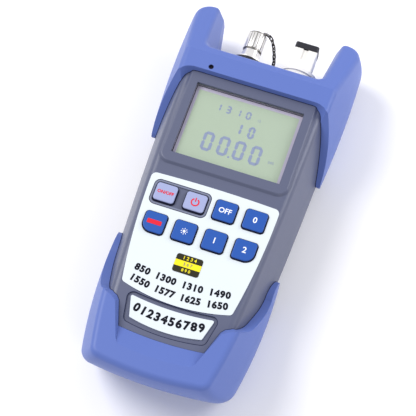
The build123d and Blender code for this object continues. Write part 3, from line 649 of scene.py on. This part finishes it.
def segmentBar(length, stroke):
    # One bar of a digit, pointed at both ends
    bar = flatFace((length, stroke))
    selectParts(bar, "VERT", lambda v: True)
    bpy.ops.mesh.bevel(offset=stroke * segmentShape["point"] * mm, segments=1, affect="VERTICES")
    leaveEdit()
    thicken(bar, screen["inkThick"] * mm)
    return bar


def makeReading():
    z = panelTop + screen["lift"]
    thick = screen["inkThick"]
    bars = []
    for reading in readings:
        stroke = reading["stroke"]
        across = segmentBar(reading["width"] - stroke, stroke)
        upright = segmentBar(reading["height"] / 2 - stroke * segmentShape["uprightCut"], stroke)
        for text, middle in zip(reading["text"], reading["middles"]):
            for letter in segmentsLit[text]:
                sideways, level, standing = segmentPlaces[letter]
                x = middle + sideways * (reading["width"] - stroke) / 2
                y = reading["y"] + level * (reading["height"] - stroke) / 2
                turn = Matrix.Rotation(math.pi / 2 if standing else 0.0, 4, "Z")
                place = Matrix.Translation(millimetres((x, y, z)))
                bars.append(copyTo(upright if standing else across, place @ turn))
        bpy.data.objects.remove(across)
        bpy.data.objects.remove(upright)
    size = (decimalDot["size"], decimalDot["size"])
    dot = roundedPlate(size, (*decimalDot["place"], z), evenCorners(decimalDot["corner"]), thick)
    marks = [
        printedText(mark["text"], (*mark["place"], z + thick / 2), mark["height"], thick)
        for mark in smallMarks
    ]
    finishPiece(joinAll(bars + [dot] + marks), "screenReading", "digitInk")


makeScreenMargin()
makeScreenShadowLines()
makeReading()
print("screen ready")

# Keys: a dark collar of painted shade in the gap round each, and its legend
keys = {
    "key_laser": {"corner": None, "legend": "ON/OFF", "height": 1.6, "ink": "redPrint"},
    "key_power": {"corner": None, "legend": None, "height": 4.2, "ink": "redPrint"},
    "key_auto_off": {"corner": None, "legend": "OFF", "height": 2.6, "ink": "whitePrint"},
    "key_zero": {"corner": None, "legend": "0", "height": 3.0, "ink": "whitePrint"},
    "key_relative": {"corner": (-1, -1), "legend": None, "height": 2.2, "ink": "redPrint"},
    "key_light": {"corner": None, "legend": None, "height": 3.4, "ink": "whitePrint"},
    "key_db": {"corner": None, "legend": "1", "height": 3.0, "ink": "whitePrint"},
    "key_wavelength": {"corner": (1, -1), "legend": "2", "height": 3.0, "ink": "whitePrint"},
}
keyGapShade = {"gap": 0.5, "clear": 0.06, "corner": 1.5, "wideCorner": 4.5, "low": 41.15, "thick": 0.75}
legend = {"thick": 0.06, "weight": 0.07}
faceSizes = {"small": (10.3, 9.2), "plain": (10.5, 10.3)}
smallKeys = ("key_laser", "key_power")
powerShape = {
    "radius": 0.42, "drop": 0.2, "opening": 0.2, "stroke": 0.15, "bar": (0.13, 0.5), "rise": 0.26,
    "corner": 0.1, "steps": 36,
}
lightShape = {"disc": 0.2, "ray": (0.17, 0.1), "corner": 0.05, "reach": 0.4, "rays": 8, "steps": 24}
laserBar = {"share": 0.66, "corner": 0.3}


def keyFace(name):
    # Middle and top level of a key, and the size of its face
    low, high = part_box(name)
    size = faceSizes["small" if name in smallKeys else "plain"]
    return ((low[0] + high[0]) / 2 / mm, (low[1] + high[1]) / 2 / mm, high[2] / mm), size


def makeKeyShadeCollars():
    for name, setting in keys.items():
        middle, size = keyFace(name)
        grow = keyGapShade["gap"] - keyGapShade["clear"]
        corners = evenCorners(keyGapShade["corner"] + grow)
        if setting["corner"]:
            corners[setting["corner"]] = keyGapShade["wideCorner"] + grow
        place = (middle[0], middle[1], keyGapShade["low"])
        band = grow - keyGapShade["clear"]
        # Painted shade: a near-black ring filling the gap round the key
        item = roundedRing((size[0] + 2 * grow, size[1] + 2 * grow), place, corners, band, keyGapShade["thick"])
        finishPiece(item, "keyGapShade_" + name, "gapShadow")


def powerSign(middle, z, height):
    # Open ring with an upright bar through its opening
    x, y = middle[:2]
    bpy.ops.mesh.primitive_circle_add(
        vertices=powerShape["steps"], radius=height * powerShape["radius"] * mm,
        location=millimetres((x, y - powerShape["drop"], z)),
    )
    ring = bpy.context.object
    settle(ring)
    reach = height * powerShape["opening"] * mm
    selectParts(ring, "VERT", lambda v: v.co.y - y * mm > 0 and abs(v.co.x - x * mm) < reach)
    bpy.ops.mesh.delete(type="VERT")
    bpy.ops.mesh.select_all(action="SELECT")
    bpy.ops.mesh.extrude_region_move(TRANSFORM_OT_translate={"value": (0, 0, legend["thick"] * mm)})
    leaveEdit()
    thicken(ring, height * powerShape["stroke"] * mm, side=0)
    tidyMesh(ring)
    size = (height * powerShape["bar"][0], height * powerShape["bar"][1])
    place = (x, y + height * powerShape["rise"], z)
    bar = roundedPlate(size, place, evenCorners(powerShape["corner"]), legend["thick"])
    return joinAll([ring, bar])


def lightSign(middle, z, height):
    # Small sun: a round disc with its rays
    place = millimetres((middle[0], middle[1], z))
    bpy.ops.mesh.primitive_circle_add(
        vertices=lightShape["steps"], radius=height * lightShape["disc"] * mm, fill_type="NGON",
        location=place,
    )
    disc = bpy.context.object
    settle(disc)
    thicken(disc, legend["thick"] * mm)
    size = (height * lightShape["ray"][0], height * lightShape["ray"][1])
    ray = roundedPlate(size, (0, 0, 0), evenCorners(lightShape["corner"]), legend["thick"])
    outward = Matrix.Translation((height * lightShape["reach"] * mm, 0, 0))
    pieces = [disc]
    for number in range(lightShape["rays"]):
        turn = Matrix.Rotation(number * 2 * math.pi / lightShape["rays"], 4, "Z")
        pieces.append(copyTo(ray, Matrix.Translation(place) @ turn @ outward))
    bpy.data.objects.remove(ray)
    return joinAll(pieces)


def makeLegends():
    thick = legend["thick"]
    for name, setting in keys.items():
        middle, size = keyFace(name)
        z = middle[2]
        if name == "key_power":
            item = powerSign(middle, z, setting["height"])
        elif name == "key_light":
            item = lightSign(middle, z, setting["height"])
        elif name == "key_relative":
            bar = (size[0] * laserBar["share"], setting["height"])
            item = roundedPlate(bar, middle, evenCorners(laserBar["corner"]), thick)
        else:
            place = (middle[0], middle[1], z + thick / 2)
            item = printedText(setting["legend"], place, setting["height"], thick, legend["weight"])
        finishPiece(item, "legend_" + name, setting["ink"], body=name)


# Painted shade: a near-black ring in the gap round the pair recess
pairGapShade = {"size": (28.35, 13.25), "corner": 3.0, "band": 0.32, "low": 41.72, "thick": 0.22}
# A raised border round the pair recess, whose lighter colour is a painted highlight of its rounded rim
pairHighlightBorder = {
    "middle": (-14.7, -11.05), "size": (27.7, 12.6), "corner": 2.7, "band": 0.9, "low": 41.78, "thick": 0.2,
}


def pairRing(setting):
    place = (*pairHighlightBorder["middle"], setting["low"])
    corners = evenCorners(setting["corner"])
    return roundedRing(setting["size"], place, corners, setting["band"], setting["thick"])


def makePairHighlightAndShade():
    item = pairRing(pairHighlightBorder)
    softenEdges(item)
    finishPiece(item, "pairHighlightBorder", "recessRimHighlight")
    finishPiece(pairRing(pairGapShade), "pairGapShade", "gapShadow")


makeKeyShadeCollars()
makeLegends()
makePairHighlightAndShade()
print("keys ready")

# Sleeve round the lamp's hole: a near-black tube of painted shade lining its mouth
lampHoleShade = {"place": (-23.0, 58.0), "outer": 1.27, "inner": 0.95, "low": 44.6, "high": 45.9, "steps": 40}


def makeLampHoleShade():
    low = lampHoleShade["low"]
    high = lampHoleShade["high"]
    bpy.ops.mesh.primitive_cylinder_add(
        vertices=lampHoleShade["steps"], radius=lampHoleShade["outer"] * mm, depth=(high - low) * mm,
        end_fill_type="NOTHING", location=millimetres((*lampHoleShade["place"], (high + low) / 2)),
    )
    item = bpy.context.object
    settle(item)
    thicken(item, (lampHoleShade["outer"] - lampHoleShade["inner"]) * mm, side=-1)
    softenEdges(item)
    finishPiece(item, "lampHoleShade", "gapShadow")


makeLampHoleShade()
print("lamp sleeve ready")

# Printing on the overlay, the sticker and the lower plate
titleLines = [
    {
        "text": "850 1300 1310 1490", "halfWidth": 22.0, "endY": -50.0, "sag": 1.7, "height": 3.2,
        "weight": 0.25,
    },
    {
        "text": "1550 1577 1625 1650", "halfWidth": 22.5, "endY": -55.5, "sag": 2.4, "height": 3.2,
        "weight": 0.25,
    },
]
plateLine = {
    "text": "0123456789", "halfWidth": 15.6, "endY": -68.8, "sag": 1.7, "height": 4.0, "weight": 0.28,
}
inkThick = 0.05
stickerPrint = {
    "middle": (-0.35, -41.9),
    "bandSize": (12.7, 3.0),
    "bandThick": 0.04,
    "corner": 0.1,
    "rowGap": 3.0,
    "weight": 0.05,
    "upper": {"text": "1 2 3 4", "height": 1.7},
    "middleRow": {"text": "5 6 7", "height": 1.5},
    "lower": {"text": "8 9 0", "height": 1.5},
}


def curvedLine(line, z):
    # Characters along an arc that hangs lowest in the middle
    count = len(line["text"])
    pieces = []
    for number, text in enumerate(line["text"]):
        if text == " ":
            continue
        share = 2 * number / (count - 1) - 1
        x = share * line["halfWidth"]
        y = line["endY"] - line["sag"] * (1 - share ** 2)
        slope = 2 * line["sag"] * share / line["halfWidth"]
        place = (x, y, z + inkThick / 2)
        pieces.append(printedText(text, place, line["height"], inkThick, line["weight"], math.atan(slope)))
    return joinAll(pieces)


def makeTitle():
    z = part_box("keypad_overlay")[1][2] / mm
    lines = [curvedLine(line, z) for line in titleLines]
    finishPiece(joinAll(lines), "titleNumbers", "blackPrint")
    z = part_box("lower_label")[1][2] / mm
    finishPiece(curvedLine(plateLine, z), "plateNumbers", "blackPrint")


def stickerRow(row, rise, z):
    x, y = stickerPrint["middle"]
    place = (x, y + rise, z + inkThick / 2)
    return printedText(row["text"], place, row["height"], inkThick, stickerPrint["weight"])


def makeStickerPrint():
    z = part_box("inspection_sticker")[1][2] / mm
    place = (*stickerPrint["middle"], z)
    thick = stickerPrint["bandThick"]
    band = roundedPlate(stickerPrint["bandSize"], place, evenCorners(stickerPrint["corner"]), thick)
    upper = stickerRow(stickerPrint["upper"], stickerPrint["rowGap"], z)
    lower = stickerRow(stickerPrint["lower"], -stickerPrint["rowGap"], z)
    finishPiece(joinAll([band, upper, lower]), "stickerBand", "yellowPrint")
    middle = stickerRow(stickerPrint["middleRow"], 0, z + thick)
    finishPiece(middle, "stickerNumbers", "greyPrint")


makeTitle()
makeStickerPrint()
print("printing ready")

# Threaded port: ribs of the cap, thread of the barrel, and chain
portZ = 22.5
capAxisX = -10.5
cap = {"ribCount": 20, "ribFaces": 4, "radius": 4.72, "proud": 0.22, "start": 85.3, "end": 94.0}
thread = {
    "pitch": 0.75, "radius": 3.98, "proud": 0.08, "start": 79.4, "turns": 16,
    "rootShare": 0.7, "tipShare": 0.1, "steps": 32,
}
chain = {
    "wire": 0.64, "width": 2.2, "length": 3.7, "washerEnd": (-7.0, 12.9), "tabEnd": (-5.0, 24.6),
    "bendSteps": 16, "wireSteps": 8,
}


def aroundPort(x):
    # From a piece standing on its own Z axis to one lying along +Y on a port's axis
    return Matrix.Translation(millimetres((x, 0, portZ))) @ Matrix.Rotation(-math.pi / 2, 4, "X")


def makeCapRibs():
    # Separate ribs on the dark cap, each with one face's width of groove beside it, where the cap's darker
    # nickel shows as painted shade
    facesAround = cap["ribCount"] * cap["ribFaces"]
    length = cap["end"] - cap["start"]
    bpy.ops.mesh.primitive_cylinder_add(
        vertices=facesAround, radius=cap["radius"] * mm, depth=length * mm, end_fill_type="NOTHING"
    )
    item = bpy.context.object

    def inGroove(face):
        turn = math.atan2(face.center.y, face.center.x) / (2 * math.pi) * facesAround
        return int(round(turn - 0.5)) % cap["ribFaces"] == 0

    selectParts(item, "FACE", inGroove)
    bpy.ops.mesh.delete(type="FACE")
    leaveEdit()
    thicken(item, cap["proud"] * mm)
    item.matrix_world = aroundPort(capAxisX) @ Matrix.Translation((0, 0, (cap["start"] + length / 2) * mm))
    settle(item)
    tidyMesh(item)
    softenEdges(item)
    finishPiece(item, "capRibs", "nickel", body="screw_cap")


def makeThread():
    # A sharp ridge wound up the barrel
    bpy.ops.mesh.primitive_plane_add(size=1)
    item = bpy.context.object
    item.scale = (thread["proud"] * 2 * mm, thread["pitch"] * thread["rootShare"] * mm, 1)
    item.rotation_euler = (math.pi / 2, 0, 0)
    item.location = (thread["radius"] * mm, 0, 0)
    settle(item)
    selectParts(item, "VERT", lambda v: v.co.x > thread["radius"] * mm)
    bpy.ops.transform.resize(value=(1, 1, thread["tipShare"]), center_override=(0, 0, 0))
    leaveEdit()
    wind = item.modifiers.new("wind", "SCREW")
    wind.axis = "Z"
    wind.angle = 2 * math.pi
    wind.screw_offset = thread["pitch"] * mm
    wind.iterations = thread["turns"]
    wind.steps = thread["steps"]
    wind.render_steps = thread["steps"]
    pickOnly(item)
    bpy.ops.object.modifier_apply(modifier=wind.name)
    item.matrix_world = aroundPort(capAxisX) @ Matrix.Translation((0, 0, thread["start"] * mm))
    settle(item)
    tidyMesh(item)
    finishPiece(item, "barrelThread", "nickel")


def linkPlaces():
    # Middle of each link of the solid chain, with the directions it runs and faces
    twin = copyTo(nodes["cap_chain"], Matrix.Identity(4))
    twin.hide_viewport = False
    tidyMesh(twin)
    pickOnly(twin)
    bpy.ops.object.mode_set(mode="EDIT")
    bpy.ops.mesh.select_all(action="SELECT")
    bpy.ops.mesh.separate(type="LOOSE")
    leaveEdit()
    places = []
    for part in list(bpy.context.selected_objects):
        points = numpy.array([vertex.co[:] for vertex in part.data.vertices])
        middle = (points.max(axis=0) + points.min(axis=0)) / 2
        directions = numpy.linalg.eigh(numpy.cov((points - points.mean(axis=0)).T))[1]
        run = Vector(directions[:, 2])
        face = Vector(directions[:, 0])
        turned = Matrix((run, face.cross(run), face)).transposed().to_4x4()
        places.append(Matrix.Translation(Vector(middle)) @ turned)
        bpy.data.objects.remove(part)
    return places


def makeChain():
    places = linkPlaces()
    bend = (chain["width"] - chain["wire"]) / 2
    bpy.ops.mesh.primitive_torus_add(
        major_segments=chain["bendSteps"], minor_segments=chain["wireSteps"],
        major_radius=bend * mm, minor_radius=chain["wire"] / 2 * mm,
    )
    link = bpy.context.object
    straight = (chain["length"] - chain["width"]) / 2
    for side in (-1, 1):
        selectParts(link, "VERT", lambda v: v.co.x * side > mergeReach)
        bpy.ops.transform.translate(value=(side * straight * mm, 0, 0))
        leaveEdit()
    links = [copyTo(link, place) for place in places]
    bpy.data.objects.remove(link)
    item = joinAll(links)
    bpy.ops.object.shade_smooth()
    finishPiece(item, "capChain", "chainSteel", body=None)
    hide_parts("cap_chain")
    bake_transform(item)


makeCapRibs()
makeThread()
makeChain()
print("threaded port ready")

# Painted shade in the gaps: dark lines where the boots' lips lie on the case, and round the bed of the
# lower plate
seamShadeLines = {"reach": 0.22, "radius": 0.2, "roundSteps": 1}
plateBed = {
    "radius": 0.14, "level": 41.8, "levelReach": 0.01,
    "rangeY": (-79.0, -60.5), "halfWidth": 24.0, "steep": 0.5,
}


def solidCopy(name):
    twin = copyTo(nodes[name], Matrix.Identity(4))
    twin.parent = None
    twin.hide_viewport = False
    tidyMesh(twin)
    return twin


def edgesPassing(item, test):
    # Numbers of the edges that pass the test, which is given the faces on both sides of each
    facesOf = {}
    for face in item.data.polygons:
        for key in face.edge_keys:
            facesOf.setdefault(key, []).append(face)
    return {edge.index for edge in item.data.edges if test(item, edge, facesOf.get(edge.key, []))}


def edgeLine(name, test, radius):
    # Round line along the edges of a solid that pass the test
    twin = solidCopy(name)
    wanted = edgesPassing(twin, test)
    selectParts(twin, "EDGE", lambda edge: edge.index in wanted)
    bpy.ops.mesh.select_all(action="INVERT")
    bpy.ops.mesh.delete(type="EDGE")
    leaveEdit()
    bpy.ops.object.convert(target="CURVE")
    line = bpy.context.object
    line.data.bevel_depth = radius * mm
    line.data.bevel_resolution = seamShadeLines["roundSteps"]
    line.data.use_fill_caps = True
    bpy.ops.object.convert(target="MESH")
    bpy.ops.object.shade_smooth()
    return bpy.context.object


def makeBootSeamShadow():
    case = joinAll([solidCopy("front_housing"), solidCopy("rear_housing")])
    places = [vertex.co.copy() for vertex in case.data.vertices]
    surface = BVHTree.FromPolygons(places, [face.vertices[:] for face in case.data.polygons])
    bpy.data.objects.remove(case)

    def onCase(item, face):
        distances = [surface.find_nearest(item.data.vertices[v].co)[3] for v in face.vertices]
        return max(distances) < seamShadeLines["reach"] * mm

    def onLip(item, edge, faces):
        return len(faces) == 2 and onCase(item, faces[0]) != onCase(item, faces[1])

    # Painted shade: dark round lines along the boots' lips where they meet the case
    lines = [edgeLine(name, onLip, seamShadeLines["radius"]) for name in ("upper_boot", "lower_boot")]
    finishPiece(joinAll(lines), "bootSeamShadow", "seamShadow")


def makePlateSeamShadow():
    low, high = millimetres(plateBed["rangeY"])

    def inBed(place):
        level = abs(place.z - plateBed["level"] * mm) < plateBed["levelReach"] * mm
        return level and low < place.y < high and abs(place.x) < plateBed["halfWidth"] * mm

    def onBedRim(item, edge, faces):
        steep = any(abs(face.normal.z) < plateBed["steep"] for face in faces)
        return steep and all(inBed(item.data.vertices[v].co) for v in edge.vertices)

    # Painted shade: a dark round line along the rim of the lower plate's bed
    line = edgeLine("front_housing", onBedRim, plateBed["radius"])
    finishPiece(line, "plateSeamShadow", "seamShadow")


makeBootSeamShadow()
makePlateSeamShadow()
print("seams ready")

# Back: cross recesses of the case screws, drawn as flat dark crosses of painted shade, and grip ridges in
# the battery door
caseScrews = {
    "places": ((-32.5, 57.0), (32.5, 57.0), (-26.0, -66.0), (26.0, -66.0)),
    "level": 4.0, "sink": 0.05, "size": 2.6, "armShare": 0.24, "corner": 0.1, "thick": 0.06,
}
doorGrip = {
    "middleY": 9.75, "count": 5, "pitch": 2.2, "size": (0.7, 4.0), "low": 2.65, "thick": 0.75,
    "corner": 0.3, "soft": 0.15,
}


def makeScrewCrossShade():
    # Painted shade: flat near-black crosses where the screws' cross recesses lie in shadow
    z = caseScrews["level"] - caseScrews["sink"]
    arm = (caseScrews["size"], caseScrews["size"] * caseScrews["armShare"])
    corners = evenCorners(caseScrews["corner"])
    pieces = []
    for x, y in caseScrews["places"]:
        for size in (arm, arm[::-1]):
            pieces.append(roundedPlate(size, (x, y, z), corners, caseScrews["thick"]))
    finishPiece(joinAll(pieces), "screwCrossShade", "gapShadow")


def makeDoorGrip():
    ridge = roundedPlate(doorGrip["size"], (0, 0, 0), evenCorners(doorGrip["corner"]), doorGrip["thick"])
    softenEdges(ridge, doorGrip["soft"])
    pieces = []
    for number in range(doorGrip["count"]):
        x = (number - (doorGrip["count"] - 1) / 2) * doorGrip["pitch"]
        place = Matrix.Translation(millimetres((x, doorGrip["middleY"], doorGrip["low"])))
        pieces.append(copyTo(ridge, place))
    bpy.data.objects.remove(ridge)
    finishPiece(joinAll(pieces), "doorGrip", "rear_case", body="battery_door")


makeScrewCrossShade()
makeDoorGrip()
print("back ready")
